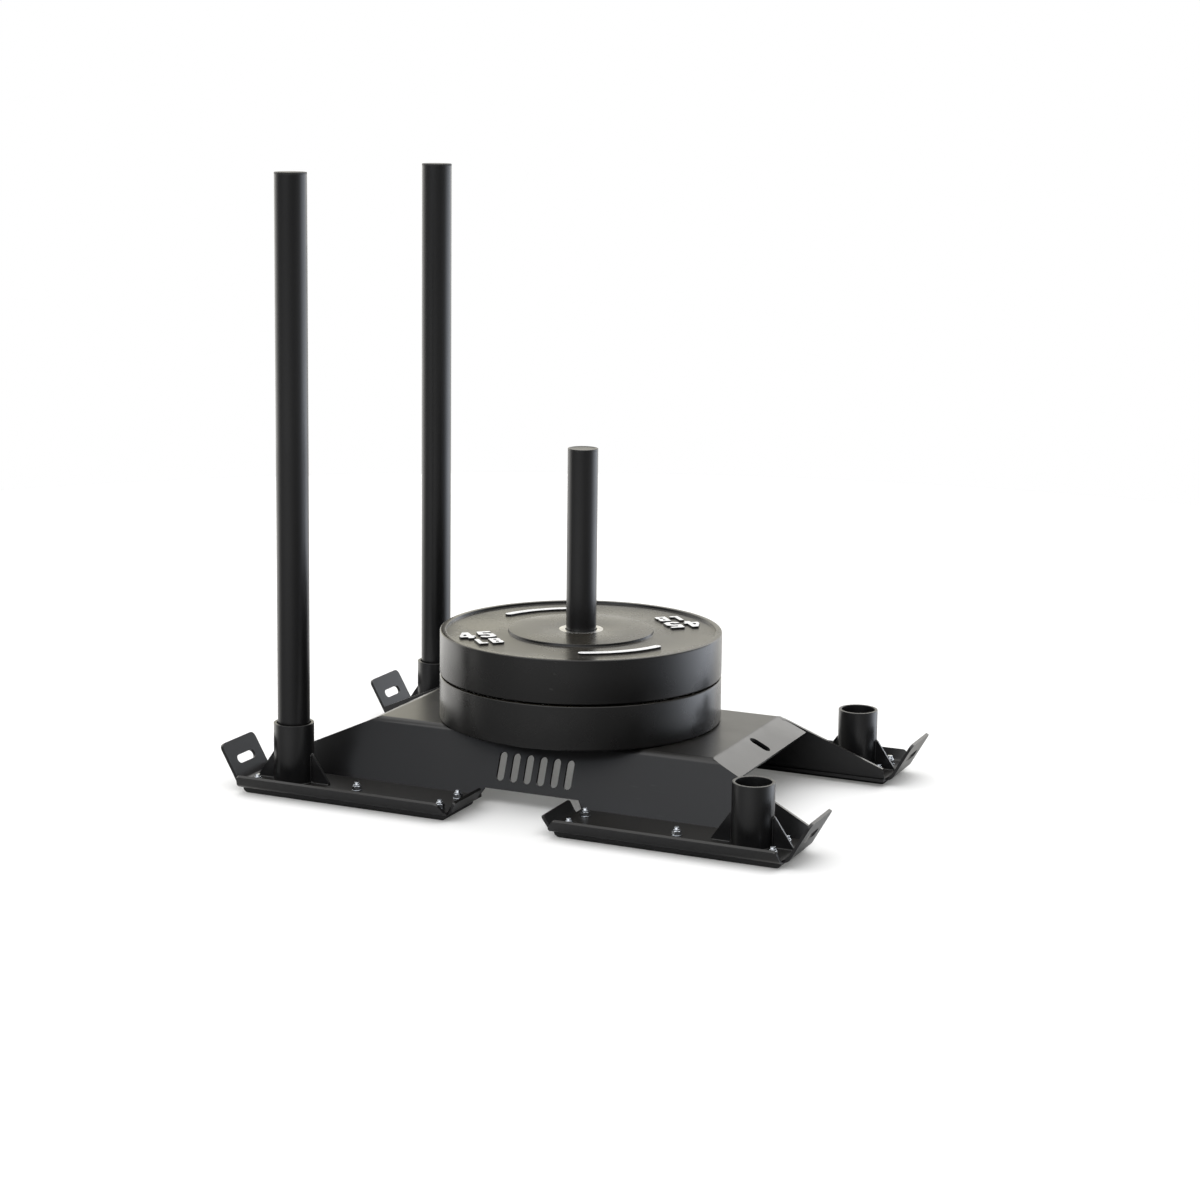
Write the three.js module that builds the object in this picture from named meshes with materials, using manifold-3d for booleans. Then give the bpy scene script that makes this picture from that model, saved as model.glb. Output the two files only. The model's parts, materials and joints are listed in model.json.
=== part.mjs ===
// Push and drag sled for round weight plates
// Millimetres, Z up, ground at zero. X runs along the sled, with the push poles at its negative end.
import * as THREE from 'three';
import { mergeGeometries, mergeVertices } from 'three/addons/utils/BufferGeometryUtils.js';
import Module from 'manifold-3d';

const wasm = await Module();
wasm.setup();

// Fits and tool sizes
const runningGap = 0.3;
const cutOverrun = 6;
const weldTolerance = 1e-4;
const foldSteps = 4;
const cornerSteps = 3;
const tubeSegments = 32;
const plateSegments = 44;
const boltSegments = 8;
const nutSides = 6;

// Bent steel sheet, used for the hood and the trays
const sheetThickness = 4.76;
const bendRadius = 8;
const lipTurn = THREE.MathUtils.degToRad(60);
const foldOuterRadius = bendRadius + sheetThickness;

// Glide pads
const padThickness = 9.5;
const padWidth = 91;
const padEndRadius = 8.7;

// Heights of the tray floor and of the deck
const trayBottom = padThickness;
const trayTop = trayBottom + sheetThickness;
const deckTop = 108.4;
const deckBottom = deckTop - sheetThickness;

// Deck hood: the half width runs to the sharp corner of deck and wall
const deckHalfWidth = 147;
const deckHalfLength = 285.7;
const wallSlant = THREE.MathUtils.degToRad(22);
const wallToeHeight = 18.7;
const wallToeSetback = 0.4;
const archHeight = 11.4;
const archStepRun = 7;
const wallTurn = Math.PI / 2 - wallSlant;
const wallFoldY = deckHalfWidth - foldOuterRadius * Math.tan(wallTurn / 2);
const wallFootY = deckHalfWidth + (deckTop - trayTop) * Math.tan(wallSlant);
const wallFootThickness = sheetThickness / Math.cos(wallSlant);

// Sloping end flanges of the deck
const flangeTurn = THREE.MathUtils.degToRad(26.1);
const flangeLength = 48.6;
const flangeHalfWidth = 146.5;
const flangeCornerRadius = 2;
const flangeSlotLength = 37;
const flangeSlotWidth = 18;
const flangeSlotFromFold = 21.5;
const flangeFoldX = deckHalfLength - foldOuterRadius * Math.tan(flangeTurn / 2);

// Row of upright round-ended slots in each side wall
const wallSlotCount = 6;
const wallSlotWidth = 13;
const wallSlotLength = 46;
const wallSlotPitch = 23;
const wallSlotFromTop = 26;

// Skid trays: the floor runs from the inner end fold to the tow tab's fold
const trayGap = 174;
const trayFloorLength = 366.4;
const trayFloorWidth = 116.7;
const trayTuck = 2;
const trayInnerX = trayGap / 2;
const trayOuterX = trayInnerX + trayFloorLength;
const trayInnerY = wallFootY - wallFootThickness - trayTuck;
const trayFoldY = trayInnerY + trayFloorWidth;
const wallEndX = trayOuterX - wallToeSetback;

// Lips of the trays
const longLipLength = 16;
const longLipInnerTaper = 10;
const longLipOuterTaper = 3.4;
const endLipLength = 17.3;
const endLipWidth = 90.7;
const endLipFlare = 3.3;
const endLipSetback = 4.4;
const endLipRelief = 3;
const lipCornerRadius = 5;

// Tow tabs
const towTabLength = 62;
const towTabWidth = 95;
const towTabFromFold = 5.2;
const towTabCornerRadius = 9;
const towSlotLength = 50;
const towSlotWidth = 14;
const towSlotFromFold = 29;
const towTabOuterY = trayFoldY - towTabFromFold;
const towTabInnerY = towTabOuterY - towTabWidth;

// Place of the pads under the trays
const padFromTowFold = 2.4;
const padFromInnerEnd = 3;
const padFromLongFold = 3.9;
const padOuterX = trayOuterX - padFromTowFold;
const padInnerX = trayInnerX + padFromInnerEnd;
const padOuterY = trayFoldY - padFromLongFold;
const padInnerY = padOuterY - padWidth;

// Pole sockets and their gusset plates
const socketOuterRadius = 31.75;
const socketWall = 4.76;
const socketHeight = 95;
const socketFromTrayEnd = 65.8;
const socketFromTrayEdge = 62.4;
const socketX = trayOuterX - socketFromTrayEnd;
const socketY = trayInnerY + socketFromTrayEdge;
const gussetHeight = 45.5;
const gussetReach = 32.5;
const gussetThickness = 4.76;
const gussetBlunt = 3;

// Closed ends of the tubes
const capEdge = 1;

// Push poles
const poleRadius = 25.4;
const poleWall = 3.2;
const poleLength = 959;
const poleCapThickness = 3;
const poleCapDepth = 16;

// Loading pin
const pinRadius = 24.15;
const pinWall = 4;
const pinRise = 433.9;
const pinCapThickness = 3;
const pinCapDepth = 14;
const doublerWidth = 150;
const doublerThickness = 6;
const doublerCornerRadius = 12;

// Weight plates
const plateRadius = 225;
const plateRimThickness = 69;
const plateEdge = 4;
const plateRimWidth = 5.2;
const plateRecess = 4;
const plateRecessRun = 3;
const plateDiscRadius = 116.5;
const hubRadius = 35.25;
const hubThickness = 71.8;
const hubBoreRadius = 25.5;
const hubEdge = 1.2;

// Skid bolts, washers and lock nuts
const boltRadius = 4;
const boltHeadRadius = 8;
const boltHeadDepth = 4.4;
const boltSink = 2.2;
const boltStandout = 3.6;
const boltEndInset = 18.5;
const boltInnerInset = 17;
const boltOuterInset = 14;
const washerRadius = 8;
const washerThickness = 1.6;
const nutRadius = 7.5;
const nutHeight = 6.2;
const nutCollarRadius = 5.6;
const nutCollarHeight = 1.8;
const nutShoulder = 0.5;
const boltHoleRadius = boltRadius + runningGap;

// Colours and finishes
function finish(color, roughness, metalness) {
  return new THREE.MeshStandardMaterial({ color, roughness, metalness });
}
const blackCoat = finish(0x2b2b2e, 0.5, 0.3);
const blackPlastic = finish(0x1c1c1e, 0.55, 0);
const blackRubber = finish(0x232324, 0.75, 0);
const brightSteel = finish(0xb9bcc0, 0.3, 1);
const brightZinc = finish(0xd2d6da, 0.25, 1);

// Exact quarter and half turns
const axisX = new THREE.Vector3(1, 0, 0);
const axisY = new THREE.Vector3(0, 1, 0);
const axisZ = new THREE.Vector3(0, 0, 1);
const backX = axisX.clone().negate();
const backY = axisY.clone().negate();
const standUp = new THREE.Matrix4().makeBasis(axisX, axisZ, backY);
const alongX = new THREE.Matrix4().makeBasis(axisY, axisZ, axisX);
const faceY = new THREE.Matrix4().makeBasis(axisY, backX, axisZ);
const faceBackX = new THREE.Matrix4().makeBasis(backX, backY, axisZ);

// Joins shared vertices and drops triangles that have collapsed on an axis
function welded(geometry) {
  const bare = geometry.clone();
  for (const name of Object.keys(bare.attributes)) {
    if (name !== 'position') bare.deleteAttribute(name);
  }
  const merged = mergeVertices(bare, weldTolerance);
  const corners = merged.index.array;
  const kept = [];
  for (let i = 0; i < corners.length; i += 3) {
    const [a, b, c] = corners.slice(i, i + 3);
    if (a !== b && b !== c && c !== a) kept.push(a, b, c);
  }
  merged.setIndex(kept);
  return merged;
}

// Geometry to solid, and solid to geometry
function solidOf(geometry) {
  const { attributes, index } = welded(geometry);
  return new wasm.Manifold(new wasm.Mesh({
    numProp: 3,
    vertProperties: new Float32Array(attributes.position.array),
    triVerts: new Uint32Array(index.array),
  }));
}

function geometryOf(solid) {
  const { vertProperties, triVerts } = solid.getMesh();
  const geometry = new THREE.BufferGeometry();
  geometry.setAttribute('position', new THREE.BufferAttribute(vertProperties, 3));
  geometry.setIndex(new THREE.BufferAttribute(triVerts, 1));
  return geometry;
}

// Outline of straight edges through a list of [x, y] points
function polygon(points) {
  return new THREE.Shape(points.map(([x, y]) => new THREE.Vector2(x, y)));
}

// Points of an arc, both ends included
function arc(centreX, centreY, radius, from, to, steps) {
  return Array.from({ length: steps + 1 }, (_, i) => {
    const angle = from + (to - from) * i / steps;
    return [centreX + radius * Math.cos(angle), centreY + radius * Math.sin(angle)];
  });
}

// Rectangle with rounded corners about the origin
function roundedRectangle(width, height, radius) {
  const x = width / 2 - radius;
  const y = height / 2 - radius;
  const quarter = Math.PI / 2;
  return polygon([[x, y], [-x, y], [-x, -y], [x, -y]].flatMap(([cx, cy], i) =>
    arc(cx, cy, radius, quarter * i, quarter * (i + 1), cornerSteps)));
}

// Slot with round ends about the origin, its length along X
function obround(length, width) {
  const reach = (length - width) / 2;
  const quarter = Math.PI / 2;
  return polygon([
    ...arc(reach, 0, width / 2, -quarter, quarter, 2 * cornerSteps),
    ...arc(-reach, 0, width / 2, quarter, 3 * quarter, 2 * cornerSteps),
  ]);
}

// Plate cut from an outline, centred on its own thickness
function plate(outline, thickness) {
  return new THREE.ExtrudeGeometry(outline, { depth: thickness, bevelEnabled: false, steps: 1 })
    .translate(0, 0, -thickness / 2);
}

// Turned piece: a profile of [radius, height] points, anticlockwise, about the Z axis
function turned(profile, segments) {
  const points = profile.map(([radius, height]) => new THREE.Vector2(radius, height));
  return new THREE.LatheGeometry(points, segments).applyMatrix4(standUp);
}

// Turned ring, whose profile closes on itself
function turnedRing(profile, segments) {
  return turned([...profile, profile[0]], segments);
}

// Skin through rings with as many corners each, closed at both ends. Seen from the last ring, each ring
// runs clockwise.
function lofted(rings) {
  const corners = rings[0].length;
  const positions = rings.flat(2);
  const faces = [];
  for (let i = 0; i + 1 < rings.length; i += 1) {
    for (let j = 0; j < corners; j += 1) {
      const [a, b] = [i * corners + j, i * corners + (j + 1) % corners];
      faces.push(a, b + corners, b, a, a + corners, b + corners);
    }
  }
  const last = (rings.length - 1) * corners;
  for (let j = 1; j + 1 < corners; j += 1) {
    faces.push(0, j, j + 1, last, last + j + 1, last + j);
  }
  const geometry = new THREE.BufferGeometry();
  geometry.setAttribute('position', new THREE.Float32BufferAttribute(positions, 3));
  geometry.setIndex(faces);
  return geometry;
}

// Point of a flange's upper face, a distance past the end of its fold, with its tilt.
// The fold starts at x zero with the sheet's upper face at z zero, and turns up when turn is positive.
function flangePoint(turn, angle, past) {
  const radius = turn > 0 ? bendRadius : foldOuterRadius;
  return {
    x: radius * Math.sin(Math.abs(angle)) + past * Math.cos(angle),
    z: Math.sign(turn) * radius * (1 - Math.cos(angle)) + past * Math.sin(angle),
    tilt: angle,
  };
}

// Flange folded along Y, with a tail that laps into the sheet it belongs to. It is narrower by its relief
// where the fold starts. Its sides draw in from the fold to the free end by their tapers, and its free
// corners are round.
function foldedFlange({
  turn, foldX, topZ, length, low, high, lowTaper = 0, highTaper = 0, cornerRadius, relief = 0,
}) {
  const stations = [{ ...flangePoint(turn, 0, 0), x: -foldOuterRadius, share: 0, inset: relief }];
  for (let i = 0; i <= foldSteps; i += 1) {
    const inset = relief * (1 - i / foldSteps);
    stations.push({ ...flangePoint(turn, turn * i / foldSteps, 0), share: 0, inset });
  }
  for (let i = 0; i <= cornerSteps; i += 1) {
    const angle = Math.PI / 2 * i / cornerSteps;
    const past = length - cornerRadius * (1 - Math.sin(angle));
    const inset = cornerRadius * (1 - Math.cos(angle));
    stations.push({ ...flangePoint(turn, turn, past), share: past / length, inset });
  }
  return lofted(stations.map(({ x, z, tilt, share, inset }) => {
    const y0 = low + lowTaper * share + inset;
    const y1 = high - highTaper * share - inset;
    const [x0, z0] = [foldX + x, topZ + z];
    const [x1, z1] = [x0 + sheetThickness * Math.sin(tilt), z0 - sheetThickness * Math.cos(tilt)];
    return [[x0, y0, z0], [x0, y1, z0], [x1, y1, z1], [x1, y0, z1]];
  }));
}

// Round-ended slot cutter square to a flange, centred a distance past the end of its fold.
// With no spin the slot runs away from the fold.
function flangeSlotCutter({ turn, foldX, topZ, length, width, past, spin = 0 }) {
  const { x, z } = flangePoint(turn, turn, past);
  return plate(obround(length, width), sheetThickness + 2 * cutOverrun)
    .rotateZ(spin)
    .translate(0, 0, -sheetThickness / 2)
    .rotateY(-turn)
    .translate(foldX + x, 0, topZ + z);
}

// Deck hood
function wallProfile() {
  const centreZ = deckTop - foldOuterRadius;
  const [start, end] = [Math.PI / 2, wallSlant];
  const outer = arc(wallFoldY, centreZ, foldOuterRadius, end, start, foldSteps);
  const inner = arc(wallFoldY, centreZ, bendRadius, start, end, foldSteps);
  const right = {
    outer: [[wallFootY, trayTop], ...outer],
    inner: [...inner, [wallFootY - wallFootThickness, trayTop]],
  };
  const left = (points) => points.map(([y, z]) => [-y, z]).reverse();
  return polygon([...right.outer, ...left(right.outer), ...left(right.inner), ...right.inner]);
}

function endSlopeCutter() {
  const fall = (deckTop - trayTop - wallToeHeight) / (wallEndX - deckHalfLength);
  const onSlope = (x) => [x, deckTop - (x - deckHalfLength) * fall];
  const [from, to] = [deckHalfLength - cutOverrun, wallEndX + cutOverrun];
  const above = deckTop + 2 * cutOverrun;
  const outline = polygon([onSlope(from), onSlope(to), [to, above], [from, above]]);
  return plate(outline, 2 * (wallFootY + cutOverrun)).applyMatrix4(standUp);
}

function deckEndCutter() {
  const length = wallEndX + cutOverrun - flangeFoldX;
  const height = deckTop + cutOverrun - trayTop;
  return new THREE.BoxGeometry(length, 2 * wallFoldY, height)
    .translate(flangeFoldX + length / 2, 0, trayTop + height / 2);
}

function archCutter() {
  const [foot, head] = [trayInnerX, trayInnerX - archStepRun];
  const [below, top] = [trayTop - cutOverrun, trayTop + archHeight];
  const outline = polygon([[-foot, below], [foot, below], [foot, trayTop], [head, top], [-head, top],
    [-foot, trayTop]]);
  return plate(outline, 2 * (wallFootY + cutOverrun)).applyMatrix4(standUp);
}

function wallSlotCutters(side) {
  const centreZ = deckTop - wallSlotFromTop - wallSlotLength / 2;
  const centreY = deckHalfWidth + (deckTop - centreZ) * Math.tan(wallSlant);
  const cutter = plate(obround(wallSlotLength, wallSlotWidth), 2 * (sheetThickness + cutOverrun))
    .rotateZ(Math.PI / 2)
    .applyMatrix4(standUp)
    .rotateX(side * wallSlant)
    .translate(0, side * centreY, centreZ);
  return Array.from({ length: wallSlotCount }, (_, i) =>
    cutter.clone().translate((i - (wallSlotCount - 1) / 2) * wallSlotPitch, 0, 0));
}

function deckHood() {
  const channel = plate(wallProfile(), 2 * wallEndX).applyMatrix4(alongX);
  const fold = { turn: -flangeTurn, foldX: flangeFoldX, topZ: deckTop };
  const flange = foldedFlange({
    ...fold,
    length: flangeLength,
    low: -flangeHalfWidth,
    high: flangeHalfWidth,
    cornerRadius: flangeCornerRadius,
    relief: flangeHalfWidth - wallFoldY,
  });
  const slot = flangeSlotCutter({
    ...fold,
    length: flangeSlotLength,
    width: flangeSlotWidth,
    past: flangeSlotFromFold,
  });
  const atBothEnds = (geometry) => [geometry, geometry.clone().applyMatrix4(faceBackX)];
  const pinHole = turned(drill(pinRadius + runningGap, deckBottom, deckTop), tubeSegments);

  let hood = solidOf(channel);
  for (const cutter of [...atBothEnds(endSlopeCutter()), ...atBothEnds(deckEndCutter()), archCutter()]) {
    hood = hood.subtract(solidOf(cutter));
  }
  for (const end of atBothEnds(flange)) hood = hood.add(solidOf(end));
  for (const cutter of [...atBothEnds(slot), ...wallSlotCutters(1), ...wallSlotCutters(-1), pinHole]) {
    hood = hood.subtract(solidOf(cutter));
  }
  return geometryOf(hood);
}

// Profile of a drill that runs past both faces of what it cuts
function drill(radius, from, to) {
  return [[0, from - cutOverrun], [radius, from - cutOverrun], [radius, to + cutOverrun],
    [0, to + cutOverrun]];
}

// Loading pin with its doubler under the deck
const pinFoot = deckBottom - doublerThickness;
const pinTop = deckTop + pinRise;

function loadingPin() {
  return turnedRing(tubeProfile(pinRadius, pinWall, pinFoot, pinTop - pinCapThickness), tubeSegments);
}

function loadingPinCap() {
  return turned(capProfile(pinRadius, pinWall, pinTop, pinCapThickness, pinCapDepth), tubeSegments);
}

function pinDoubler() {
  const sheet = plate(roundedRectangle(doublerWidth, doublerWidth, doublerCornerRadius), doublerThickness)
    .translate(0, 0, pinFoot + doublerThickness / 2);
  const hole = turned(drill(pinRadius + runningGap, pinFoot, deckBottom), tubeSegments);
  return geometryOf(solidOf(sheet).subtract(solidOf(hole)));
}

function tubeProfile(radius, wall, from, to) {
  return [[radius - wall, from], [radius, from], [radius, to], [radius - wall, to]];
}

// Cap that covers a tube's end and has a plug down inside its bore
function capProfile(radius, wall, top, thickness, depth) {
  const seat = top - thickness;
  const plug = radius - wall - runningGap;
  return [[0, seat - depth], [plug, seat - depth], [plug, seat], [radius, seat],
    [radius, top - capEdge], [radius - capEdge, top], [0, top]];
}

// Places of the five bolts of one tray
const boltPlaces = (() => {
  const [x0, x1] = [padInnerX + boltEndInset, padOuterX - boltEndInset];
  const [y0, y1] = [padInnerY + boltInnerInset, padOuterY - boltOuterInset];
  return [[x0, y0], [x0, y1], [(x0 + x1) / 2, (y0 + y1) / 2], [x1, y0], [x1, y1]];
})();

function atBolts(geometry) {
  return mergeGeometries(boltPlaces.map(([x, y]) => welded(geometry).translate(x, y, 0)));
}

// Skid tray of the far right corner. Its floor is set back where the end lip folds up, and keeps a tongue
// beside the lip that the deck's wall stands on.
function trayFloor() {
  const slab = (x0, x1, y0, y1, z0, z1) => solidOf(lofted([y0, y1].map((y) =>
    [[x0, y, z0], [x1, y, z0], [x1, y, z1], [x0, y, z1]])));
  const tongueEdge = trayFoldY - endLipWidth - endLipRelief;
  const floor = slab(trayInnerX, trayOuterX, trayInnerY, trayFoldY, trayBottom, trayTop);
  const setback = slab(trayInnerX - cutOverrun, trayInnerX + endLipSetback, tongueEdge, trayFoldY + cutOverrun,
    trayBottom - cutOverrun, trayTop + cutOverrun);
  return floor.subtract(setback);
}

function skidTray() {
  const fold = { turn: lipTurn, topZ: trayTop };
  const longLip = foldedFlange({
    ...fold,
    foldX: trayFoldY,
    length: longLipLength,
    low: -trayOuterX,
    high: -trayInnerX,
    lowTaper: longLipOuterTaper,
    highTaper: longLipInnerTaper,
    cornerRadius: lipCornerRadius,
  }).applyMatrix4(faceY);
  const endLip = foldedFlange({
    ...fold,
    foldX: -trayInnerX - endLipSetback,
    length: endLipLength,
    low: -trayFoldY,
    high: endLipWidth - trayFoldY,
    lowTaper: -endLipFlare,
    cornerRadius: lipCornerRadius,
  }).applyMatrix4(faceBackX);
  const towTab = foldedFlange({
    ...fold,
    foldX: trayOuterX,
    length: towTabLength,
    low: towTabInnerY,
    high: towTabOuterY,
    cornerRadius: towTabCornerRadius,
  });
  const towSlot = flangeSlotCutter({
    ...fold,
    foldX: trayOuterX,
    length: towSlotLength,
    width: towSlotWidth,
    past: towSlotFromFold,
    spin: Math.PI / 2,
  }).translate(0, (towTabInnerY + towTabOuterY) / 2, 0);
  const boltHoles = atBolts(turned(drill(boltHoleRadius, trayBottom, trayTop), boltSegments));

  let tray = trayFloor();
  for (const lip of [longLip, endLip, towTab]) tray = tray.add(solidOf(lip));
  for (const cutter of [towSlot, boltHoles]) tray = tray.subtract(solidOf(cutter));
  return geometryOf(tray);
}

// Glide pad, with its ends rounded up off the ground and its bolt heads sunk
function glidePad() {
  const quarter = Math.PI / 2;
  const outline = polygon([
    [padInnerX, padThickness],
    ...arc(padInnerX + padEndRadius, padEndRadius, padEndRadius, 2 * quarter, 3 * quarter, foldSteps),
    ...arc(padOuterX - padEndRadius, padEndRadius, padEndRadius, 3 * quarter, 4 * quarter, foldSteps),
    [padOuterX, padThickness],
  ]);
  const slab = plate(outline, padWidth).applyMatrix4(standUp).translate(0, (padInnerY + padOuterY) / 2, 0);
  const sinks = atBolts(turned([
    [0, -cutOverrun],
    [boltHeadRadius + runningGap, -cutOverrun],
    [boltHeadRadius + runningGap, boltSink],
    [boltHoleRadius, boltSink + boltHeadDepth],
    [boltHoleRadius, padThickness + cutOverrun],
    [0, padThickness + cutOverrun],
  ], boltSegments));
  return geometryOf(solidOf(slab).subtract(solidOf(sinks)));
}

// Skid bolt about its own axis, with its washer and lock nut run down on it
function skidBolt() {
  const washerTop = trayTop + washerThickness;
  const nutTop = washerTop + nutHeight;
  const collarTop = nutTop + nutShoulder + nutCollarHeight;
  const boltTop = collarTop + boltStandout;
  const bolt = turned([
    [0, boltSink],
    [boltHeadRadius, boltSink],
    [boltRadius, boltSink + boltHeadDepth],
    [boltRadius, boltTop],
    [0, boltTop],
  ], boltSegments);
  const washer = turned([[0, trayTop], [washerRadius, trayTop], [washerRadius, washerTop], [0, washerTop]],
    boltSegments);
  const nut = turned([
    [0, washerTop],
    [nutRadius, washerTop],
    [nutRadius, nutTop],
    [nutCollarRadius, nutTop + nutShoulder],
    [nutCollarRadius, collarTop],
    [0, collarTop],
  ], nutSides);
  return geometryOf(solidOf(bolt).add(solidOf(washer)).add(solidOf(nut)));
}

// Pole socket and its gusset plates, about the socket's own axis
function poleSocket() {
  return turnedRing(tubeProfile(socketOuterRadius, socketWall, trayTop, trayTop + socketHeight), tubeSegments);
}

function gusset() {
  const heel = socketOuterRadius + runningGap;
  const toe = socketOuterRadius + gussetReach;
  const outline = polygon([
    [heel, trayTop],
    [toe, trayTop],
    [toe, trayTop + gussetBlunt],
    [heel + gussetBlunt, trayTop + gussetHeight],
    [heel, trayTop + gussetHeight],
  ]);
  return plate(outline, gussetThickness).applyMatrix4(standUp);
}

// Push pole and its cap, about the pole's own axis
const poleFoot = trayTop + runningGap;
const poleTop = poleFoot + poleLength;

function pushPole() {
  return turnedRing(tubeProfile(poleRadius, poleWall, poleFoot, poleTop - poleCapThickness), tubeSegments);
}

function pushPoleCap() {
  return turned(capProfile(poleRadius, poleWall, poleTop, poleCapThickness, poleCapDepth), tubeSegments);
}

// Rubber plate and its steel hub, about the loading pin's axis and their own middle plane
function throughPlate(upperHalf) {
  return [...upperHalf.map(([radius, height]) => [radius, -height]).reverse(), ...upperHalf];
}

function plateRubber() {
  const face = plateRimThickness / 2;
  const recess = face - plateRecess;
  const rimInner = plateRadius - plateEdge - plateRimWidth;
  return turnedRing(throughPlate([
    [plateRadius, face - plateEdge],
    [plateRadius - plateEdge, face],
    [rimInner, face],
    [rimInner - plateRecessRun, recess],
    [plateDiscRadius, recess],
    [plateDiscRadius - plateRecessRun, face],
    [hubRadius + runningGap, face],
  ]), plateSegments);
}

function plateHub() {
  const face = hubThickness / 2;
  return turnedRing(throughPlate([
    [hubRadius, face - hubEdge],
    [hubRadius - hubEdge, face],
    [hubBoreRadius + hubEdge, face],
    [hubBoreRadius, face - hubEdge],
  ]), tubeSegments);
}

// Assembly
const sled = new THREE.Group();

function addPart(parent, name, geometry, material) {
  const shape = welded(geometry);
  shape.computeVertexNormals();
  const mesh = new THREE.Mesh(shape, material);
  mesh.name = name;
  parent.add(mesh);
  return mesh;
}

addPart(sled, 'deck_hood', deckHood(), blackCoat);
addPart(sled, 'pin_doubler', pinDoubler(), blackCoat);
addPart(sled, 'loading_pin', loadingPin(), blackCoat);
addPart(sled, 'loading_pin_cap', loadingPinCap(), blackCoat);

// Each corner is the far right one, mirrored across the long middle plane or turned half round
const corners = [
  { place: 'far_right', hand: 1, turn: 0 },
  { place: 'near_right', hand: -1, turn: 0 },
  { place: 'far_left', hand: -1, turn: Math.PI },
  { place: 'near_left', hand: 1, turn: Math.PI },
];
for (const { place, hand, turn } of corners) {
  const corner = new THREE.Group();
  corner.scale.y = hand;
  corner.rotation.z = turn;
  sled.add(corner);
  addPart(corner, `skid_tray_${place}`, skidTray(), blackCoat);
  addPart(corner, `glide_pad_${place}`, glidePad(), blackPlastic);
  boltPlaces.forEach(([x, y], i) => {
    addPart(corner, `skid_bolt_${place}_${i + 1}`, skidBolt(), brightZinc).position.set(x, y, 0);
  });

  const post = new THREE.Group();
  post.position.set(socketX, socketY, 0);
  corner.add(post);
  addPart(post, `pole_socket_${place}`, poleSocket(), blackCoat);
  addPart(post, `outer_gusset_${place}`, gusset(), blackCoat);
  addPart(post, `inner_gusset_${place}`, gusset(), blackCoat).rotation.z = Math.PI;
}

for (const [place, side] of [['near', -1], ['far', 1]]) {
  const pole = new THREE.Group();
  pole.position.set(-socketX, side * socketY, 0);
  addPart(pole, `push_pole_${place}`, pushPole(), blackCoat);
  addPart(pole, `push_pole_cap_${place}`, pushPoleCap(), blackPlastic);
  sled.add(pole);
}

['lower', 'upper'].forEach((level, i) => {
  const weight = new THREE.Group();
  weight.position.z = deckTop + hubThickness / 2 + runningGap + i * (hubThickness + runningGap);
  addPart(weight, `${level}_plate_rubber`, plateRubber(), blackRubber);
  addPart(weight, `${level}_plate_hub`, plateHub(), brightSteel);
  sled.add(weight);
});

export default sled;
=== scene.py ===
"""Looks of a push and drag sled with two weight plates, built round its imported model."""

import json
import math

import bmesh
import bpy
import numpy as np
from bpy.props import FloatProperty, FloatVectorProperty, PointerProperty
from mathutils import Matrix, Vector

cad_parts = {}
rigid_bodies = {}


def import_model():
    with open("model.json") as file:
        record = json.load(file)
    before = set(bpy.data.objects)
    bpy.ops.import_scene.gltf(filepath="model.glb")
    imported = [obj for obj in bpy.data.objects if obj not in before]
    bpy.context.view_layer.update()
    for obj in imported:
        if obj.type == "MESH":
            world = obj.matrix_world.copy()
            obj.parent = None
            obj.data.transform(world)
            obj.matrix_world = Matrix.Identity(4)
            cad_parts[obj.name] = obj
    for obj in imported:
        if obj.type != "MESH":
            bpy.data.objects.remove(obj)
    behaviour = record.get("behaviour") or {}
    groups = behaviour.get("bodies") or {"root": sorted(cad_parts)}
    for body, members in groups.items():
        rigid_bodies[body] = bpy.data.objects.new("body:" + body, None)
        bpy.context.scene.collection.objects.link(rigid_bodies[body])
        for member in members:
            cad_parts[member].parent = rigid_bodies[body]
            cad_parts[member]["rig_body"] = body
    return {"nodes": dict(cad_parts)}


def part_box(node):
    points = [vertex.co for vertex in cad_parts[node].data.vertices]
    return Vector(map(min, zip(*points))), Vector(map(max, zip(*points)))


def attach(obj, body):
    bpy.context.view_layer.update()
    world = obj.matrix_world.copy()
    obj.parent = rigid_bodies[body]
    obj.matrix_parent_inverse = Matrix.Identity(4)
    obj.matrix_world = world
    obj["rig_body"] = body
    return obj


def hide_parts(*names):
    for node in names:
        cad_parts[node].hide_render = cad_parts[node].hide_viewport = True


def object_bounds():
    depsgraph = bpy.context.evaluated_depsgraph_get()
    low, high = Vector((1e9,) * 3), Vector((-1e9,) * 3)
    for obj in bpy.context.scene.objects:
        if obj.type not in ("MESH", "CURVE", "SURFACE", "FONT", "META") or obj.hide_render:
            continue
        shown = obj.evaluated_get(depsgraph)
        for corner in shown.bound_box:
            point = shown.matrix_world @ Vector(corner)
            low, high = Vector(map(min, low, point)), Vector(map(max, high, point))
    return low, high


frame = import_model()
cad_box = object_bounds()

bl_info = {
    "name": "Drag Sled",
    "version": (1, 0, 0),
    "blender": (4, 5, 0),
    "location": "3D View > Sidebar > Drag Sled",
    "description": "Builds the sheet steel, tubes, plates, fasteners and studio of a drag sled",
    "category": "Add Mesh",
}

MM = 0.001
SIDES = ("near", "far")
LEVELS = ("lower", "upper")
CORNERS = tuple(f"{side}_{end}" for side in SIDES for end in ("left", "right"))
BOLTS_PER_TRAY = 5

# Sides of a full circle for tubes and the floor, for a plate, a nut, a small turned part and a weld
ROUND, PLATE_ROUND, NUT_ROUND, SMALL_ROUND, WELD_ROUND = 96, 192, 72, 40, 8
# Faces that meet at less than an angle are shaded as one, or merged as flat in copies of nodes
SMOOTH, FLAT = math.radians(32), math.radians(0.6)
# Points nearer than this are one, in built shapes and in copies of nodes
WELD_GAP, COPY_GAP = 1e-7, 2e-6


# Settings a user would change

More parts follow.
